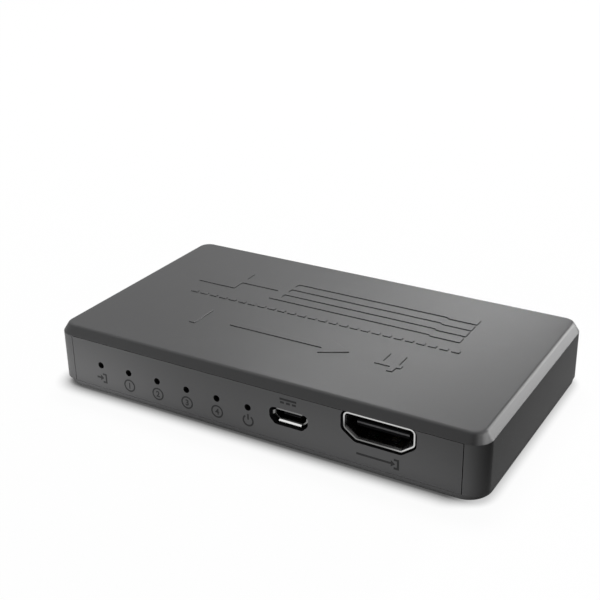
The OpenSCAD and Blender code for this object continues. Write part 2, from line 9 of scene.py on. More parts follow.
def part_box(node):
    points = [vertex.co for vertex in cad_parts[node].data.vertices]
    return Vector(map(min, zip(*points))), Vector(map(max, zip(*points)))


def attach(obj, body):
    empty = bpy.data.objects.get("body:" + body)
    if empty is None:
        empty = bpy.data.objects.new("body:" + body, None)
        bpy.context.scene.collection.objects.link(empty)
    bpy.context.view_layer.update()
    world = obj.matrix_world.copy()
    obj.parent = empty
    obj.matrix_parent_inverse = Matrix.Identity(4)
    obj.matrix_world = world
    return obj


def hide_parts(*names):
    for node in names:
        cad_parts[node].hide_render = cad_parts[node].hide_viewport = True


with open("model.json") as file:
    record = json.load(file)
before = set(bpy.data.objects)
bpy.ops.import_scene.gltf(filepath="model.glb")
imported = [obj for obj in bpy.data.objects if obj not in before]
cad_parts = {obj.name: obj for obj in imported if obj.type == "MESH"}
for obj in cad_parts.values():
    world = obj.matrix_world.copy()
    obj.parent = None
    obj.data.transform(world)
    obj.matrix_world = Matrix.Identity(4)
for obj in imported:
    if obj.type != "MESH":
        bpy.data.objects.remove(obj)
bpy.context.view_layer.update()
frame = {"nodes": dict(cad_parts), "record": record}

NODES = frame["nodes"]
MM = 0.001

# Places on the case, in metres, read from the frame
CASE_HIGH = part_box("top_cover")[1]
ROOF_Z = CASE_HIGH.z
FRONT_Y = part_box("front_panel")[0].y
REAR_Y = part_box("rear_panel")[1].y


# Shader building

# Shares of the two noises in moulded grain and in rolling marks, and the scale of the marks' clouds
FINE_SHARE, PATCH_SHARE = 0.6, 0.4
STREAK_SHARE, CLOUD_SHARE = 0.5, 0.5
CLOUD_SCALE = 400
# How far a rounded normal leaves the true one where the paler edge, edge wear and painted highlight, begins
# and where it is full
EDGE_LEAN = (0.995, 0.9)
# Strength and depth, in metres, of the bumps of grain and rolling marks
GRAIN_STRENGTH, GRAIN_DEPTH = 0.6, 8e-6
STREAK_STRENGTH, STREAK_DEPTH = 0.4, 3e-6


def place(tree, kind, values=None, **settings):
    """A node of that kind, with its settings and its unlinked input values."""
    node = tree.nodes.new(kind)
    for name, value in settings.items():
        setattr(node, name, value)
    for name, value in (values or {}).items():
        node.inputs[name].default_value = value
    return node


def combine(tree, operation, first, second):
    """A Math node over two sockets or numbers."""
    node = place(tree, "ShaderNodeMath", operation=operation)
    for slot, source in zip(node.inputs, (first, second)):
        if isinstance(source, (int, float)):
            slot.default_value = source
        else:
            tree.links.new(source, slot)
    return node.outputs[0]


def spread(tree, source, low, high):
    """Maps a 0 to 1 value onto low to high."""
    node = place(tree, "ShaderNodeMapRange")
    tree.links.new(source, node.inputs["Value"])
    for name, value in (("To Min", low), ("To Max", high)):
        if isinstance(value, (int, float)):
            node.inputs[name].default_value = value
        else:
            tree.links.new(value, node.inputs[name])
    return node.outputs["Result"]


def ramp(tree, source, span, ends):
    """A smooth step of a socket over a span, from one end value to the other."""
    node = place(tree, "ShaderNodeMapRange", {
        "From Min": span[0], "From Max": span[1], "To Min": ends[0], "To Max": ends[1]},
        interpolation_type="SMOOTHSTEP")
    tree.links.new(source, node.inputs["Value"])
    return node.outputs["Result"]


def noise(tree, coordinates, scale, detail, roughness=0.5):
    node = place(tree, "ShaderNodeTexNoise", {"Detail": detail, "Roughness": roughness})
    tree.links.new(coordinates, node.inputs["Vector"])
    if isinstance(scale, (int, float)):
        node.inputs["Scale"].default_value = scale
    else:
        tree.links.new(scale, node.inputs["Scale"])
    return node.outputs["Fac"]


def surface_group(name, inputs, outputs):
    """An empty shader group with named number sockets, its inlet and its outlet."""
    tree = bpy.data.node_groups.new(name, "ShaderNodeTree")
    for label, value in inputs.items():
        socket = tree.interface.new_socket(label, in_out="INPUT", socket_type="NodeSocketFloat")
        socket.default_value = value
    for label in outputs:
        tree.interface.new_socket(label, in_out="OUTPUT", socket_type="NodeSocketFloat")
    return tree, tree.nodes.new("NodeGroupInput").outputs, tree.nodes.new("NodeGroupOutput").inputs


def make_grain_group():
    """Moulded grain: a fine pitted skin over a slow unevenness of gloss and tone."""
    tree, given, out = surface_group(
        "moulded_grain",
        {"Grain": 4000, "Patches": 90, "Rough Low": 0.4, "Rough High": 0.5,
         "Tone Low": 0.9, "Tone High": 1.1},
        ("Height", "Roughness", "Tone"))
    where = place(tree, "ShaderNodeTexCoord").outputs["Object"]
    fine = noise(tree, where, given["Grain"], 3, 0.6)
    patches = noise(tree, where, given["Patches"], 4, 0.55)
    both = combine(tree, "ADD", combine(tree, "MULTIPLY", fine, FINE_SHARE),
                   combine(tree, "MULTIPLY", patches, PATCH_SHARE))
    tree.links.new(fine, out["Height"])
    tree.links.new(spread(tree, both, given["Rough Low"], given["Rough High"]), out["Roughness"])
    tree.links.new(spread(tree, both, given["Tone Low"], given["Tone High"]), out["Tone"])
    return tree


def make_edge_wear_and_highlight_group():
    """Edge wear and painted edge highlight: edges made paler in uneven spots, found where a rounded normal
    leaves the true one.
    """
    tree, given, out = surface_group("edge_wear_and_highlight", {"Reach": 0.00025, "Spots": 900}, ("Wear And Highlight",))
    soft = place(tree, "ShaderNodeBevel", samples=4)
    tree.links.new(given["Reach"], soft.inputs["Radius"])
    lean = place(tree, "ShaderNodeVectorMath", operation="DOT_PRODUCT")
    tree.links.new(soft.outputs["Normal"], lean.inputs[0])
    tree.links.new(place(tree, "ShaderNodeNewGeometry").outputs["Normal"], lean.inputs[1])
    edge = ramp(tree, lean.outputs["Value"], EDGE_LEAN, (0, 1))
    where = place(tree, "ShaderNodeTexCoord").outputs["Object"]
    spots = noise(tree, where, given["Spots"], 3)
    tree.links.new(combine(tree, "MULTIPLY", edge, spots), out["Wear And Highlight"])
    return tree


def make_streak_group():
    """Rolling marks: long streaks along the depth of drawn or rolled metal."""
    tree, given, out = surface_group(
        "rolling_marks",
        {"Across": 5000, "Along": 300, "Rough Low": 0.2, "Rough High": 0.35,
         "Tone Low": 0.92, "Tone High": 1.05},
        ("Height", "Roughness", "Tone"))
    where = place(tree, "ShaderNodeTexCoord").outputs["Object"]
    stretch = place(tree, "ShaderNodeCombineXYZ")
    for axis, name in (("X", "Across"), ("Y", "Along"), ("Z", "Across")):
        tree.links.new(given[name], stretch.inputs[axis])
    scaled = place(tree, "ShaderNodeVectorMath", operation="MULTIPLY")
    tree.links.new(where, scaled.inputs[0])
    tree.links.new(stretch.outputs[0], scaled.inputs[1])
    streaks = noise(tree, scaled.outputs[0], 1.0, 2)
    clouds = noise(tree, where, CLOUD_SCALE, 3)
    both = combine(tree, "ADD", combine(tree, "MULTIPLY", streaks, STREAK_SHARE),
                   combine(tree, "MULTIPLY", clouds, CLOUD_SHARE))
    tree.links.new(streaks, out["Height"])
    tree.links.new(spread(tree, both, given["Rough Low"], given["Rough High"]), out["Roughness"])
    tree.links.new(spread(tree, both, given["Tone Low"], given["Tone High"]), out["Tone"])
    return tree


def make_slope_mask_group():
    """A mask that rises along one direction, between two distances from the origin; it places painted
    highlights and the lips' rolled shading.
    """
    tree, given, out = surface_group("slope_mask", {"X": 0, "Y": 0, "Z": 1, "From": 0, "To": 0.001}, ("Slope Mask",))
    way = place(tree, "ShaderNodeCombineXYZ")
    for axis in "XYZ":
        tree.links.new(given[axis], way.inputs[axis])
    along = place(tree, "ShaderNodeVectorMath", operation="DOT_PRODUCT")
    tree.links.new(place(tree, "ShaderNodeTexCoord").outputs["Object"], along.inputs[0])
    tree.links.new(way.outputs[0], along.inputs[1])
    rise = place(tree, "ShaderNodeMapRange", interpolation_type="SMOOTHSTEP")
    tree.links.new(along.outputs["Value"], rise.inputs["Value"])
    tree.links.new(given["From"], rise.inputs["From Min"])
    tree.links.new(given["To"], rise.inputs["From Max"])
    tree.links.new(rise.outputs["Result"], out["Slope Mask"])
    return tree


GRAIN = make_grain_group()
EDGE_WEAR_AND_HIGHLIGHT = make_edge_wear_and_highlight_group()
STREAKS = make_streak_group()
SLOPE_MASK = make_slope_mask_group()


def start_material(name, constants):
    """A material with its Principled shader, whose constant sockets are set on it."""
    material = bpy.data.materials.new(name)
    material.use_nodes = True
    tree = material.node_tree
    shader = tree.nodes["Principled BSDF"]
    for socket, value in constants.items():
        shader.inputs[socket].default_value = value
    return material, tree, shader


def use_group(tree, group, values):
    node = place(tree, "ShaderNodeGroup", node_tree=group)
    for name, value in values.items():
        node.inputs[name].default_value = value
    return node.outputs


def toned(tree, colour, tone):
    """The colour multiplied by a value that changes over the surface."""
    node = place(tree, "ShaderNodeVectorMath", {0: colour}, operation="SCALE")
    tree.links.new(tone, node.inputs["Scale"])
    return node.outputs[0]


def bump(tree, shader, height, strength, distance):
    node = place(tree, "ShaderNodeBump", {"Strength": strength, "Distance": distance})
    tree.links.new(height, node.inputs["Height"])
    tree.links.new(node.outputs["Normal"], shader.inputs["Normal"])
    return node


def stacked_slopes(tree, slopes):
    """A mask of several slopes, each a direction and the two distances along it between which it rises."""
    mask = 1.0
    for (x, y, z), start, end in slopes:
        blend_mask = use_group(tree, SLOPE_MASK, {"X": x, "Y": y, "Z": z, "From": start, "To": end})
        mask = combine(tree, "MULTIPLY", mask, blend_mask["Slope Mask"])
    return mask


# How far the bevelled rim leans to the right and up, as spans of its normal, where it carries a painted
# sheen
SHEEN_RIGHT = (0.25, 0.55)
SHEEN_STEEP = (0.2, 0.45)
SHEEN_FLAT = (0.997, 0.96)


def rim_sheen_mask(tree):
    """Painted sheen: a clear coat on the bevelled rim's slanted faces at the right end, so that the lamps'
    highlight shows there.
    """
    lean = place(tree, "ShaderNodeSeparateXYZ")
    tree.links.new(place(tree, "ShaderNodeNewGeometry").outputs["Normal"], lean.inputs[0])
    slant = combine(tree, "MULTIPLY", ramp(tree, lean.outputs["Z"], SHEEN_STEEP, (0, 1)),
                    ramp(tree, lean.outputs["Z"], SHEEN_FLAT, (0, 1)))
    return combine(tree, "MULTIPLY", slant, ramp(tree, lean.outputs["X"], SHEEN_RIGHT, (0, 1)))


def moulded(name, colour, rough, grain=4000, patches=90, tone=(0.92, 1.08), worn=None, slopes=(), sheen_coat=None,
            **constants):
    """A moulded or cast material: grain and uneven gloss.

    It may have a paler colour: on its edges, as edge wear and painted highlight, or, where slopes are
    given, as a painted highlight there; and a clear coat of painted sheen where a mask says so.
    """
    material, tree, shader = start_material(name, constants)
    parts = use_group(tree, GRAIN, {
        "Grain": grain, "Patches": patches, "Rough Low": rough[0], "Rough High": rough[1],
        "Tone Low": tone[0], "Tone High": tone[1]})
    paint = toned(tree, colour, parts["Tone"])
    if worn:
        blend_mask = stacked_slopes(tree, slopes) if slopes else use_group(tree, EDGE_WEAR_AND_HIGHLIGHT, {})["Wear And Highlight"]
        mix = place(tree, "ShaderNodeMix", {7: (*worn, 1)}, data_type="RGBA")
        tree.links.new(blend_mask, mix.inputs[0])
        tree.links.new(paint, mix.inputs[6])
        paint = mix.outputs[2]
    tree.links.new(paint, shader.inputs["Base Color"])
    tree.links.new(parts["Roughness"], shader.inputs["Roughness"])
    bump(tree, shader, parts["Height"], GRAIN_STRENGTH, GRAIN_DEPTH)
    if sheen_coat:
        tree.links.new(sheen_coat(tree), shader.inputs["Coat Weight"])
    return material


def rolled(name, colour, rough):
    """A rolled or drawn metal with streaks along its depth."""
    material, tree, shader = start_material(name, {"Metallic": 1.0})
    parts = use_group(tree, STREAKS, {"Rough Low": rough[0], "Rough High": rough[1]})
    tree.links.new(toned(tree, colour, parts["Tone"]), shader.inputs["Base Color"])
    tree.links.new(parts["Roughness"], shader.inputs["Roughness"])
    bump(tree, shader, parts["Height"], STREAK_STRENGTH, STREAK_DEPTH)
    return material


# Case plastic; its paler edges are edge wear and painted edge highlight
CASE_GREY, CASE_ROUGH = (0.092, 0.092, 0.093), (0.23, 0.3)
CASE_SKIN = {"grain": 5200, "tone": (0.93, 1.07), "worn": (0.13, 0.13, 0.131), "Specular IOR Level": 0.0155}
TONGUE_BLACK, TONGUE_ROUGH = (0.004, 0.004, 0.0044), (0.5, 0.65)
TONGUE_SKIN = {"grain": 9000, "Specular IOR Level": 0.02}

CASE = moulded("case_moulding", CASE_GREY, CASE_ROUGH, **CASE_SKIN)
# The cover carries the painted sheen at its rim's right end
COVER = moulded("cover_moulding", CASE_GREY, CASE_ROUGH, sheen_coat=rim_sheen_mask, **CASE_SKIN,
                **{"Coat Roughness": 0.27})
# Near black for the panels' cut edges: painted shade in the openings
CUT_EDGE_SHADE = moulded("cut_edge_shade", (0.012, 0.012, 0.0124), (0.5, 0.62), grain=6000,
               **{"Specular IOR Level": 0.05})
PRINT = moulded("caption_print", (0.028, 0.028, 0.0285), (0.6, 0.72), grain=7000,
                **{"Specular IOR Level": 0.1})
# The black tongues' paler edges are edge wear and painted highlight
TONGUE = moulded("tongue_moulding", TONGUE_BLACK, TONGUE_ROUGH, worn=(0.05, 0.05, 0.051), **TONGUE_SKIN)
GOLD = rolled("contact_plating", (0.86, 0.63, 0.28), (0.18, 0.3))


def painted_highlight_plating(name, dull, bright, slopes, roll=None):
    """Plating in a lit and a shaded tone: bright where the slopes rise, a painted highlight, and dull
    elsewhere, a painted shade; its lips' shading may roll over towards the front.
    """
    material, tree, shader = start_material(name, {"Metallic": 1.0})
    parts = use_group(tree, STREAKS, {"Rough Low": PLATING_ROUGH[0], "Rough High": PLATING_ROUGH[1]})
    mix = place(tree, "ShaderNodeMix", {6: (*dull, 1), 7: (*bright, 1)}, data_type="RGBA")
    tree.links.new(stacked_slopes(tree, slopes), mix.inputs[0])
    paint = place(tree, "ShaderNodeVectorMath", operation="SCALE")
    tree.links.new(mix.outputs[2], paint.inputs[0])
    tree.links.new(parts["Tone"], paint.inputs["Scale"])
    tree.links.new(paint.outputs[0], shader.inputs["Base Color"])
    tree.links.new(parts["Roughness"], shader.inputs["Roughness"])
    bump(tree, shader, parts["Height"], STREAK_STRENGTH, STREAK_DEPTH)
    if roll:
        streaked = shader.inputs["Normal"].links[0].from_socket
        lip = bump(tree, shader, stacked_slopes(tree, [roll]), 1.0, LIP_ROLL)
        tree.links.new(streaked, lip.inputs["Normal"])
    return material


# Plating tone away from its painted highlights, a painted shade, and the plating's roughness
DULL_PLATING, PLATING_ROUGH = (0.2, 0.2, 0.198), (0.18, 0.32)
# Half the height of a video socket over its flared mouth, the tongue's upper face over the mouth's middle,
# and the height of the bevel on the tongue's tip
MOUTH_HALF = 2.775 * MM
TONGUE_OVER = 0.45 * MM
TIP_DROP = 0.5 * MM
# Under the mouth's middle, where the plating's painted highlight begins and where it is full, and how far
# that leans sideways
RING_FADE = (2.6 * MM, 0.3 * MM)
RING_LEAN = 0.3
# The slope of the bevel on the tongue's tip, the skin of it that carries a painted highlight, and where
# over its foot the highlit band ends
TIP_STEEP, TIP_FLAT = 0.93, 0.37
TIP_SKIN = (0.05 * MM, 0.01 * MM)
TIP_BAND = (0.26 * MM, 0.16 * MM)
# The power socket's upper lip over its axis, its lower lip under it, and how far behind the mouth the lip
# carries its painted highlight
INLET_TOP = 1.5 * MM
LOWER_LIP = (0.8 * MM, 1.0 * MM)
LIP_BRIGHT = (0.45 * MM, 0.33 * MM)
# How far the lips' shading rolls over, and from where before the mouth to where behind it
LIP_ROLL = 0.46 * MM
ROLL_REACH = (0.4 * MM, 0.45 * MM)


def mouth_middle(port):
    low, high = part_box(port + "_shell")
    return Vector(((low.x + high.x) / 2, low.y, high.z - MOUTH_HALF))


def inlet_plating():
    """Painted highlight: bright on the lower lip, at the mouth only."""
    low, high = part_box("power_inlet_shell")
    axis = high.z - INLET_TOP
    lower_lip = ((0, 0, -1), LOWER_LIP[0] - axis, LOWER_LIP[1] - axis)
    lip_end = ((0, -1, 0), -low.y - LIP_BRIGHT[0], -low.y - LIP_BRIGHT[1])
    roll = ((0, 1, 0), low.y - ROLL_REACH[0], low.y + ROLL_REACH[1])
    return painted_highlight_plating("inlet_plating", DULL_PLATING, (0.78, 0.78, 0.77), (lower_lip, lip_end), roll)


def mouth_plating(port, lean):
    """Painted highlight: bright on the upper lip and towards one side; duller below, as painted shade."""
    centre = lean * mouth_middle(port).x + mouth_middle(port).z
    return painted_highlight_plating(port + "_plating", DULL_PLATING, (0.56, 0.56, 0.555),
                          (((lean, 0, 1), centre - RING_FADE[0], centre - RING_FADE[1]),))


def tongue_moulding(port, side):
    """Black, with the bevel of the tongue's tip painted pale as a highlight; side is -1 in front and 1
    behind.
    """
    low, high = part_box(port + "_tongue")
    tip = low.y if side < 0 else high.y
    foot = mouth_middle(port).z + TONGUE_OVER - TIP_DROP
    crest = TIP_STEEP * side * tip + TIP_FLAT * foot
    bevel = ((0, TIP_STEEP * side, TIP_FLAT), crest - TIP_SKIN[0], crest - TIP_SKIN[1])
    band = ((0, 0, -1), -foot - TIP_BAND[0], -foot - TIP_BAND[1])
    # The tip's pale bevel is a painted highlight
    return moulded(port + "_tongue_moulding", TONGUE_BLACK, TONGUE_ROUGH, worn=(0.11, 0.11, 0.112),
                   slopes=(bevel, band), **TONGUE_SKIN)


LOOKS = {
    "case_plastic": CASE,
    "socket_black": TONGUE,
    "contact_gold": GOLD,
    "screw_steel": rolled("screw_plating", (0.55, 0.54, 0.51), (0.25, 0.4)),
    "board": moulded("board_mask", (0.012, 0.09, 0.04), (0.22, 0.4), grain=2500, patches=300),
    "lamp_white": moulded("lamp_body", (0.72, 0.71, 0.68), (0.4, 0.55)),
    # The lamps' clear windows are near black: painted shade in the lamp holes
    "lamp_clear": moulded("lamp_window", (0.008, 0.008, 0.008), (0.15, 0.3), **{"Specular IOR Level": 0.1}),
    "chip_black": moulded("chip_moulding", (0.02, 0.02, 0.021), (0.5, 0.7), grain=8000),
    "tinned_lead": rolled("lead_tinning", (0.66, 0.66, 0.65), (0.25, 0.4)),
    "ferrite": moulded("ferrite_body", (0.05, 0.048, 0.046), (0.55, 0.75), grain=6000),
    "can_steel": rolled("can_plating", (0.62, 0.62, 0.62), (0.2, 0.32)),
    "can_aluminium": rolled("can_aluminium", (0.74, 0.74, 0.74), (0.2, 0.32)),
    "ceramic": moulded("ceramic_body", (0.34, 0.24, 0.15), (0.4, 0.55)),
}

# Looks that follow one socket's own mouth
OWN_LOOKS = {"power_inlet_shell": inlet_plating()}
for port in ("video_in", "video_out_1", "video_out_2", "video_out_3", "video_out_4"):
    side = -1 if port == "video_in" else 1
    OWN_LOOKS[port + "_shell"] = mouth_plating(port, -RING_LEAN * side)
    OWN_LOOKS[port + "_tongue"] = tongue_moulding(port, side)

SLOT_OF = {part["node"]: part["material_slot"] for part in frame["record"]["subparts"]}
for node_name, node_object in NODES.items():
    node_object.data.materials.clear()
    node_object.data.materials.append(OWN_LOOKS.get(node_name) or LOOKS[SLOT_OF[node_name]])


# Mesh building

WELD = 1e-6
# Faces that turn more than this meet in a sharp edge
CREASE = math.radians(32)
# Faces of a panel whose normal keeps less than this of the depth's direction are cut edges
CUT_EDGE = 0.6
CORNER_STEPS, RING_STEPS = 4, 48


def merged_copy(node):
    """A node's own shape with its triangles joined."""
    mesh = bmesh.new()
    mesh.from_mesh(NODES[node].data)
    bmesh.ops.remove_doubles(mesh, verts=mesh.verts, dist=WELD)
    return mesh


# The pieces that the gloss strips light
CASE_PIECES = bpy.data.collections.new("case_pieces")


def finish_piece(name, mesh, looks, slot, *stands_for):
    """The mesh as an object on the case, smooth up to its creases, in place of the nodes it stands for."""
    for face in mesh.faces:
        face.smooth = True
    for edge in mesh.edges:
        edge.smooth = edge.calc_face_angle(math.pi) < CREASE
    data = bpy.data.meshes.new(name)
    mesh.to_mesh(data)
    mesh.free()
    for look in looks:
        data.materials.append(look)
    piece = bpy.data.objects.new(name, data)
    bpy.context.scene.collection.objects.link(piece)
    CASE_PIECES.objects.link(piece)
    even = piece.modifiers.new("even_normals", "WEIGHTED_NORMAL")
    even.keep_sharp = True
    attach(piece, "root")
    if stands_for:
        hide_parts(*stands_for)
    return piece


def soften(mesh, edges, width, segments=2, clamp=True):
    bmesh.ops.bevel(mesh, geom=edges, offset=width, offset_type="OFFSET", affect="EDGES",
                    segments=segments, profile=0.5, material=-1, clamp_overlap=clamp)


class Marks:
    """Flat marks on one face of the case: drawn in millimetres, X right, Y up, Z out of the face."""

    def __init__(self, height, sink=0.04, round_off=0.0):
        self.mesh = bmesh.new()
        self.height = height
        self.sink = sink
        self.round_off = round_off

    def outline(self, points, corner=0.0):
        """A filled outline, its corners rounded, raised from the face."""
        ring = [self.mesh.verts.new((x, y, -self.sink)) for x, y in points]
        made = bmesh.ops.extrude_face_region(self.mesh, geom=[self.mesh.faces.new(ring)])
        top = [part for part in made["geom"] if isinstance(part, bmesh.types.BMVert)]
        bmesh.ops.translate(self.mesh, verts=top, vec=(0, 0, self.sink + self.height))
        crown = next(part for part in made["geom"] if isinstance(part, bmesh.types.BMFace))
        if corner:
            uprights = [edge for vert in top for edge in vert.link_edges if edge not in crown.edges[:]]
            before = set(self.mesh.faces)
            soften(self.mesh, uprights, corner, CORNER_STEPS)
            crowns = [face for face in self.mesh.faces if face.calc_center_median().z > 0
                      and (face not in before or face == crown)]
            crown = max(crowns, key=lambda face: face.calc_area())
        if self.round_off:
            soften(self.mesh, crown.edges[:], self.round_off, clamp=False)

    def bar(self, low, high):
        self.outline([low, (high[0], low[1]), high, (low[0], high[1])])

    def ring(self, centre, radius, stroke, turn=360, start=0):
        """A round stroke; less than a full turn leaves a gap."""
        mid = Vector((*centre, 0))
        lift = (-self.sink, self.height)
        section = [self.mesh.verts.new(mid + Vector((radius + side * stroke / 2, 0, lift[end])))
                   for side, end in ((-1, 0), (1, 0), (1, 1), (-1, 1))]
        face = self.mesh.faces.new(section)
        bmesh.ops.rotate(self.mesh, verts=section, cent=mid,
                         matrix=Matrix.Rotation(math.radians(start), 3, "Z"))
        whole = turn == 360
        geom = section + list(face.edges) + ([] if whole else [face])
        if whole:
            self.mesh.faces.remove(face)
        bmesh.ops.spin(self.mesh, geom=geom, cent=mid, axis=(0, 0, 1), angle=math.radians(turn),
                       steps=RING_STEPS, use_merge=whole, use_duplicate=False)

    def number(self, digit, centre, size, weight=0.0):
        """A plain digit, made a mesh before it is placed."""
        curve = bpy.data.curves.new("digit", "FONT")
        curve.body = digit
        curve.size = size
        curve.align_x = "CENTER"
        curve.align_y = "CENTER"
        curve.offset = weight
        half = (self.height + self.sink) / 2
        curve.bevel_depth = min(self.round_off, half)
        curve.extrude = half - curve.bevel_depth
        curve.bevel_resolution = 1
        holder = bpy.data.objects.new("digit", curve)
        bpy.context.scene.collection.objects.link(holder)
        graph = bpy.context.evaluated_depsgraph_get()
        data = bpy.data.meshes.new_from_object(holder.evaluated_get(graph))
        known = set(self.mesh.verts)
        self.mesh.from_mesh(data)
        fresh = [vert for vert in self.mesh.verts if vert not in known]
        low = Vector(min(vert.co[axis] for vert in fresh) for axis in range(3))
        high = Vector(max(vert.co[axis] for vert in fresh) for axis in range(3))
        move = Vector((*centre, (self.height - self.sink) / 2)) - (low + high) / 2
        bmesh.ops.translate(self.mesh, verts=fresh, vec=move)
        bpy.data.objects.remove(holder)
        bpy.data.curves.remove(curve)
        bpy.data.meshes.remove(data)

    def settle(self, name, look, slot, face_frame):
        """Closes the meshes, turns them outwards and puts them on their face of the case."""
        bmesh.ops.transform(self.mesh, verts=self.mesh.verts, matrix=face_frame @ Matrix.Scale(MM, 4))
        bmesh.ops.remove_doubles(self.mesh, verts=self.mesh.verts, dist=WELD)
        bmesh.ops.recalc_face_normals(self.mesh, faces=self.mesh.faces)
        return finish_piece(name, self.mesh, [look], slot)


UPRIGHT = Matrix.Rotation(math.radians(90), 4, "X")
ROOF_FACE = Matrix.Translation((0, 0, ROOF_Z))
FRONT_FACE = Matrix.Translation((0, FRONT_Y, 0)) @ UPRIGHT
REAR_FACE = Matrix.Translation((0, REAR_Y, 0)) @ Matrix.Rotation(math.pi, 4, "Z") @ UPRIGHT


# Case mouldings: the solids' own shapes, joined for smooth corners

finish_piece("cover_moulding", merged_copy("top_cover"), [COVER], "case_plastic", "top_cover")
finish_piece("base_moulding", merged_copy("bottom_cover"), [CASE], "case_plastic", "bottom_cover")
# The panels' cut edges, round the openings too, are painted near black: painted shade
for node_name, piece_name in (("front_panel", "front_plate"), ("rear_panel", "rear_plate")):
    plate = merged_copy(node_name)
    for face in plate.faces:
        face.material_index = 0 if abs(face.normal.y) > CUT_EDGE else 1
    finish_piece(piece_name, plate, [CASE, CUT_EDGE_SHADE], "case_plastic", node_name)


# Raised relief on the roof: one feed branching to four, a dashed rule, and plain numerals

RELIEF_HEIGHT = 0.2
RELIEF_ROUND = 0.14
RELIEF_CORNER = 0.35
# Rows of the four branches and of the feed, and half the heights of feed block, stem, branch and end block
BRANCH_ROWS = (5.7, 8.9, 12.1, 15.3)
BRANCH_MID = 10.5
FEED_HALF, STEM_HALF, BRANCH_HALF, END_HALF = 4.6, 1.1, 0.7, 1.25
DASHES, DASH_START, DASH_PITCH, DASH_LENGTH, DASH_ROWS = 26, -34, 2.6, 1.8, (-0.1, 0.9)
# Row of the numerals and the arrow between them
SIGN_ROW = -10.1
ARROW_TAIL, ARROW_NECK, ARROW_TIP, ARROW_HALF, ARROW_HEAD = -16, 7, 13, 1.0, 3.3
ONE_X, ONE_SIZE, ONE_WEIGHT = -24, 10.2, 0.12
FOUR_X, FOUR_CORNER = 22, 0.2


def branch_outline():
    """The feed block, its stem and the four branches with their end blocks, as one outline."""
    feed, spine, end, far = (-36, -26), (-16, -13.6), 24, 31
    points = [(feed[0], BRANCH_MID - FEED_HALF), (feed[1], BRANCH_MID - FEED_HALF),
              (feed[1], BRANCH_MID - STEM_HALF), (spine[0], BRANCH_MID - STEM_HALF),
              (spine[0], BRANCH_ROWS[0] - BRANCH_HALF)]
    for row in BRANCH_ROWS:
        if row != BRANCH_ROWS[0]:
            points.append((spine[1], row - BRANCH_HALF))
        points += [(end, row - BRANCH_HALF), (end, row - END_HALF), (far, row - END_HALF),
                   (far, row + END_HALF), (end, row + END_HALF), (end, row + BRANCH_HALF)]
        if row != BRANCH_ROWS[-1]:
            points.append((spine[1], row + BRANCH_HALF))
    points += [(spine[0], BRANCH_ROWS[-1] + BRANCH_HALF), (spine[0], BRANCH_MID + STEM_HALF),
               (feed[1], BRANCH_MID + STEM_HALF), (feed[1], BRANCH_MID + FEED_HALF),
               (feed[0], BRANCH_MID + FEED_HALF)]
    return points


def arrow_outline():
    return [(ARROW_TAIL, SIGN_ROW - ARROW_HALF), (ARROW_NECK, SIGN_ROW - ARROW_HALF),
            (ARROW_NECK, SIGN_ROW - ARROW_HEAD), (ARROW_TIP, SIGN_ROW), (ARROW_NECK, SIGN_ROW + ARROW_HEAD),
            (ARROW_NECK, SIGN_ROW + ARROW_HALF), (ARROW_TAIL, SIGN_ROW + ARROW_HALF)]


def open_four(x, y):
    """A 4 drawn with an open top, as one outline."""
    left, stem, bar, end, foot, top = (-2.7, -1.3), (0.9, 2.3), (-1.7, -0.3), 3.2, -3.6, 3.6
    shape = [(left[0], bar[0]), (stem[0], bar[0]), (stem[0], foot), (stem[1], foot), (stem[1], bar[0]),
             (end, bar[0]), (end, bar[1]), (stem[1], bar[1]), (stem[1], top), (stem[0], top),
             (stem[0], bar[1]), (left[1], bar[1]), (left[1], top), (left[0], top)]
    return [(x + right, y + up) for right, up in shape]


relief = Marks(RELIEF_HEIGHT, round_off=RELIEF_ROUND)
relief.outline(branch_outline(), corner=RELIEF_CORNER)
for step in range(DASHES):
    dash = DASH_START + DASH_PITCH * step
    relief.bar((dash, DASH_ROWS[0]), (dash + DASH_LENGTH, DASH_ROWS[1]))
relief.number("1", (ONE_X, SIGN_ROW), ONE_SIZE, ONE_WEIGHT)
relief.outline(arrow_outline(), corner=RELIEF_CORNER)
relief.outline(open_four(FOUR_X, SIGN_ROW), corner=FOUR_CORNER)
# The relief takes the cover's material, so its right-facing edges carry the painted sheen too
relief.settle("roof_relief", COVER, "case_plastic", ROOF_FACE)


# Printed captions: symbols and plain numbers only

PRINT_HEIGHT = 0.02
# Heights of the lamps' captions and of the input's, and the sizes of the two feed symbols
CAPTION_Z = 4.2
FEED_Z, FEED_LENGTH, FEED_STROKE = 4.05, 9.0, 0.45
LAMP_FEED_LENGTH, LAMP_FEED_STROKE = 2.7, 0.42
# The arrow and the bracket of the feed symbol
BRACKET_HALF, BRACKET_DEPTH = 1.15, 1.1
HEAD_GAP, HEAD_LENGTH, HEAD_HALF = 0.8, 0.9, 0.7
NUMBER_RING, NUMBER_STROKE, NUMBER_SIZE, NUMBER_WEIGHT = 1.3, 0.34, 1.9, 0.05
# The power symbol: an open ring with a bar
POWER_RING, POWER_STROKE, POWER_TURN, POWER_START, POWER_BAR = 1.15, 0.38, 290, 125, (0.2, 1.5)
# The sign for direct current: a bar over three dashes
CURRENT_HALF, CURRENT_BAR, CURRENT_DASHES = 1.9, (11.15, 11.6), (10.4, 10.85)
CURRENT_PITCH, CURRENT_DASH_HALF = 1.35, 0.45


def across_of(node):
    """Middle of a node across the case, in millimetres."""
    low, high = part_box(node)
    return (low.x + high.x) / 2 / MM


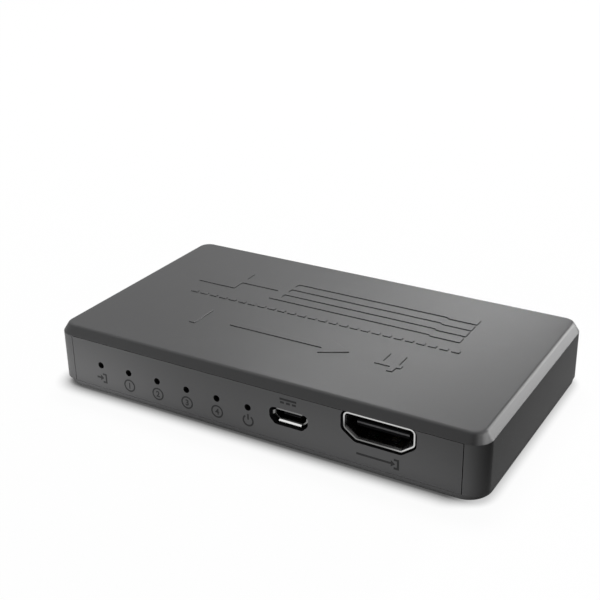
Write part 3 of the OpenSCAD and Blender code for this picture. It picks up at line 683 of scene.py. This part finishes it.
def feed_symbol(marks, x, z, length, stroke):
    """An arrow that runs into a bracket."""
    left, right = x - length / 2, x + length / 2
    tip = right - HEAD_GAP
    neck = tip - HEAD_LENGTH
    marks.outline([(left, z - stroke / 2), (neck, z - stroke / 2), (neck, z - HEAD_HALF), (tip, z),
                   (neck, z + HEAD_HALF), (neck, z + stroke / 2), (left, z + stroke / 2)])
    open_end, half = right - BRACKET_DEPTH, BRACKET_HALF
    marks.outline([(open_end, z - half), (right, z - half), (right, z + half), (open_end, z + half),
                   (open_end, z + half - stroke), (right - stroke, z + half - stroke),
                   (right - stroke, z - half + stroke), (open_end, z - half + stroke)])


def ringed_number(marks, digit, x, z):
    marks.ring((x, z), NUMBER_RING, NUMBER_STROKE)
    marks.number(digit, (x, z), NUMBER_SIZE, NUMBER_WEIGHT)


front = Marks(PRINT_HEIGHT)
feed_symbol(front, across_of("lamp_in"), CAPTION_Z, LAMP_FEED_LENGTH, LAMP_FEED_STROKE)
for digit in "1234":
    ringed_number(front, digit, across_of("lamp_" + digit), CAPTION_Z)
power_x = across_of("lamp_power")
front.ring((power_x, CAPTION_Z), POWER_RING, POWER_STROKE, turn=POWER_TURN, start=POWER_START)
front.bar((power_x - POWER_STROKE / 2, CAPTION_Z + POWER_BAR[0]),
          (power_x + POWER_STROKE / 2, CAPTION_Z + POWER_BAR[1]))
inlet_x = across_of("power_inlet_shell")
front.bar((inlet_x - CURRENT_HALF, CURRENT_BAR[0]), (inlet_x + CURRENT_HALF, CURRENT_BAR[1]))
for step in (-1, 0, 1):
    dash = inlet_x + CURRENT_PITCH * step
    front.bar((dash - CURRENT_DASH_HALF, CURRENT_DASHES[0]), (dash + CURRENT_DASH_HALF, CURRENT_DASHES[1]))
feed_symbol(front, across_of("video_in_shell"), FEED_Z, FEED_LENGTH, FEED_STROKE)
front.settle("front_captions", PRINT, "case_plastic", FRONT_FACE)

rear = Marks(PRINT_HEIGHT)
for digit in "1234":
    ringed_number(rear, digit, -across_of("video_out_%s_shell" % digit), CAPTION_Z)
rear.settle("rear_captions", PRINT, "case_plastic", REAR_FACE)


# Camera: the photograph's viewpoint

CAMERA_SPOT = Vector((106.35122, -186.10894, 116.94993)) * MM
CAMERA_TARGET = Vector((-17.41986, 21.32924, 7.3)) * MM
CAMERA_ROLL = math.radians(-1.0665)
CAMERA_LENS, CAMERA_SENSOR = 65.54, 36
CAMERA_CLIP = (0.01, 50)


def looking(spot, target, roll):
    """The frame of a camera or lamp at a spot that points at a target, rolled about its own axis."""
    turn = (target - spot).to_track_quat("-Z", "Y").to_matrix().to_4x4()
    return Matrix.Translation(spot) @ turn @ Matrix.Rotation(roll, 4, "Z")


def aim_camera():
    data = bpy.data.cameras.new("photo_camera")
    data.sensor_width = CAMERA_SENSOR
    data.lens = CAMERA_LENS
    data.clip_start, data.clip_end = CAMERA_CLIP
    camera = bpy.data.objects.new("photo_camera", data)
    bpy.context.scene.collection.objects.link(camera)
    camera.matrix_world = looking(CAMERA_SPOT, CAMERA_TARGET, CAMERA_ROLL)
    bpy.context.scene.camera = camera


# Floor and light

ROOM_WHITE = (1, 1, 1, 1)
# Share of the seen floor that is plain white, darkened only where the object nearly touches it
FLOOR_GLOW = 0.97
FLOOR_SIZE = 6
# Contact shadow on the floor, in front and beyond the right side: between which X it changes, how dark it
# starts and how far it reaches
CONTACT_TURN = (0.042, 0.0485)
CONTACT_LOW, CONTACT_REACH = (0.1, 0.6), (0.0041, 0.0022)
# Span of the floor's openness to the sky over which the contact shadow fades
CONTACT_SPAN = (0.25, 1.05)
# The table glows from below, brightest on the left and fading to nothing on the right
TABLE_GLOW = ((-0.09, 3.0), (-0.05, 4.0), (-0.01, 1.7), (0.03, 1.9), (0.047, 1.75), (0.058, 0.0))
# The glow is a band round the object, from near to far
GLOW_NEAR, GLOW_FAR = (-0.001, 0.006), (0.02, 0.045)
# Light from the room: direction and strength of each soft lobe
SKY = (((-0.5, -0.87, 0), 0.85), ((1, 0, 0), 0.13), ((-1, 0, 0), 0.1), ((0, 1, 0), 0.15))
# Lamps: name, place, the spot it points at, width and height, watts, roll in degrees, and whether it shows
# only in the gloss of the case's pieces
LAMPS = (
    ("rim_strip", (0.62, 0.78, 0.2), (0.03, 0, 0.01), (0.6, 0.3), 2.5, 0, True),
    ("crown_strip", (0.25, 0.85, 0.46), (0.04, 0, 0.0146), (0.4, 0.3), 1.6, 0, True),
    ("corner_strip", (0.9, 0.14, 0.38), (0.04, -0.02, 0.01), (0.85, 0.3), 2.7, 0, True),
    ("corner_fill", (0.75, -0.38, 0.52), (0.04, -0.02, 0.01), (0.6, 0.3), 0.3, 0, True),
    ("top_softbox", (-0.2, 0.45, 0.87), (0, 0, 0.01), (0.5, 0.3), 11.7, 0, False),
    ("roof_band", (-0.345, 0.805, 0.465), (0.012, 0, 0.0146), (0.42, 0.05), 3.2, 31, True),
)


def seen_rays(tree):
    """1 for the rays that show the white room: the camera's, and those of reflections and glass."""
    path = place(tree, "ShaderNodeLightPath").outputs
    mirrored = combine(tree, "MAXIMUM", path["Is Glossy Ray"], path["Is Transmission Ray"])
    return combine(tree, "MAXIMUM", path["Is Camera Ray"], mirrored)


def blend_shaders(tree, factor, first, second):
    mix = place(tree, "ShaderNodeMixShader")
    if isinstance(factor, float):
        mix.inputs[0].default_value = factor
    else:
        tree.links.new(factor, mix.inputs[0])
    tree.links.new(first.outputs[0], mix.inputs[1])
    tree.links.new(second.outputs[0], mix.inputs[2])
    return mix


def floor_material():
    """A white sweep with the object's shadow, and a glow from below for the object's own light."""
    material = bpy.data.materials.new("floor_sweep")
    material.use_nodes = True
    tree = material.node_tree
    tree.nodes.remove(tree.nodes["Principled BSDF"])
    where = place(tree, "ShaderNodeTexCoord").outputs["Object"]
    spot = place(tree, "ShaderNodeSeparateXYZ")
    tree.links.new(where, spot.inputs[0])
    touch = place(tree, "ShaderNodeAmbientOcclusion")
    tree.links.new(ramp(tree, spot.outputs["X"], CONTACT_TURN, CONTACT_REACH), touch.inputs["Distance"])
    open_sky = ramp(tree, touch.outputs["AO"], CONTACT_SPAN, (0, 1))
    low = ramp(tree, spot.outputs["X"], CONTACT_TURN, CONTACT_LOW)
    white = place(tree, "ShaderNodeEmission", {"Color": ROOM_WHITE})
    tree.links.new(spread(tree, open_sky, low, 1), white.inputs["Strength"])
    lit = place(tree, "ShaderNodeBsdfDiffuse", {"Color": ROOM_WHITE})
    seen = blend_shaders(tree, FLOOR_GLOW, lit, white)
    # Distance of a point on the floor from the case's outline
    beside = where
    for operation, by in (("ABSOLUTE", None), ("SUBTRACT", CASE_HIGH),
                          ("MAXIMUM", (0, 0, 0)), ("LENGTH", None)):
        step = place(tree, "ShaderNodeVectorMath", {1: by} if by else None, operation=operation)
        tree.links.new(beside, step.inputs[0])
        beside = step.outputs[0]
    band = combine(tree, "MULTIPLY", ramp(tree, step.outputs["Value"], GLOW_NEAR, (0, 1)),
                   ramp(tree, step.outputs["Value"], GLOW_FAR, (1, 0)))
    level = TABLE_GLOW[-1][1]
    for (near, bright), (far, dim) in zip(TABLE_GLOW, TABLE_GLOW[1:]):
        level = combine(tree, "ADD", ramp(tree, spot.outputs["X"], (far, near), (0, bright - dim)), level)
    table = place(tree, "ShaderNodeEmission", {"Color": ROOM_WHITE})
    tree.links.new(combine(tree, "MULTIPLY", level, band), table.inputs["Strength"])
    above = blend_shaders(tree, seen_rays(tree), table, seen)
    # From below the floor is clear, so that the underside shows
    below = place(tree, "ShaderNodeBsdfTransparent")
    final = blend_shaders(tree, place(tree, "ShaderNodeNewGeometry").outputs["Backfacing"], above, below)
    tree.links.new(final.outputs[0], tree.nodes["Material Output"].inputs["Surface"])
    return material


def lay_floor():
    data = bpy.data.meshes.new("floor")
    mesh = bmesh.new()
    bmesh.ops.create_grid(mesh, x_segments=1, y_segments=1, size=FLOOR_SIZE)
    mesh.to_mesh(data)
    mesh.free()
    floor = bpy.data.objects.new("floor", data)
    bpy.context.scene.collection.objects.link(floor)
    data.materials.append(floor_material())


def hang_light(name, spot, target, size, watts, roll, gloss_only):
    data = bpy.data.lights.new(name, "AREA")
    data.shape = "RECTANGLE"
    data.size, data.size_y = size
    data.energy = watts
    light = bpy.data.objects.new(name, data)
    bpy.context.scene.collection.objects.link(light)
    light.visible_diffuse = not gloss_only
    if gloss_only:
        light.light_linking.receiver_collection = CASE_PIECES
    light.matrix_world = looking(Vector(spot), Vector(target), math.radians(roll))


def light_the_room():
    """A white room to the eye, whose soft light on the object comes mostly from the front left."""
    world = bpy.data.worlds.new("soft_room")
    bpy.context.scene.world = world
    world.use_nodes = True
    tree = world.node_tree
    sky = tree.nodes["Background"]
    way = place(tree, "ShaderNodeTexCoord").outputs["Generated"]
    glow = 0.0
    for direction, strength in SKY:
        facing = place(tree, "ShaderNodeVectorMath", {1: direction}, operation="DOT_PRODUCT")
        tree.links.new(way, facing.inputs[0])
        lobe = combine(tree, "MAXIMUM", facing.outputs["Value"], 0.0)
        lobe = combine(tree, "MULTIPLY", combine(tree, "MULTIPLY", lobe, lobe), strength)
        glow = combine(tree, "ADD", glow, lobe)
    level = place(tree, "ShaderNodeMix", {3: 1.0}, data_type="FLOAT")
    tree.links.new(seen_rays(tree), level.inputs[0])
    tree.links.new(glow, level.inputs[2])
    tree.links.new(level.outputs[0], sky.inputs["Strength"])
    sky.inputs["Color"].default_value = ROOM_WHITE


bpy.context.scene.view_settings.view_transform = "Standard"
aim_camera()
lay_floor()
light_the_room()
for lamp in LAMPS:
    hang_light(*lamp)
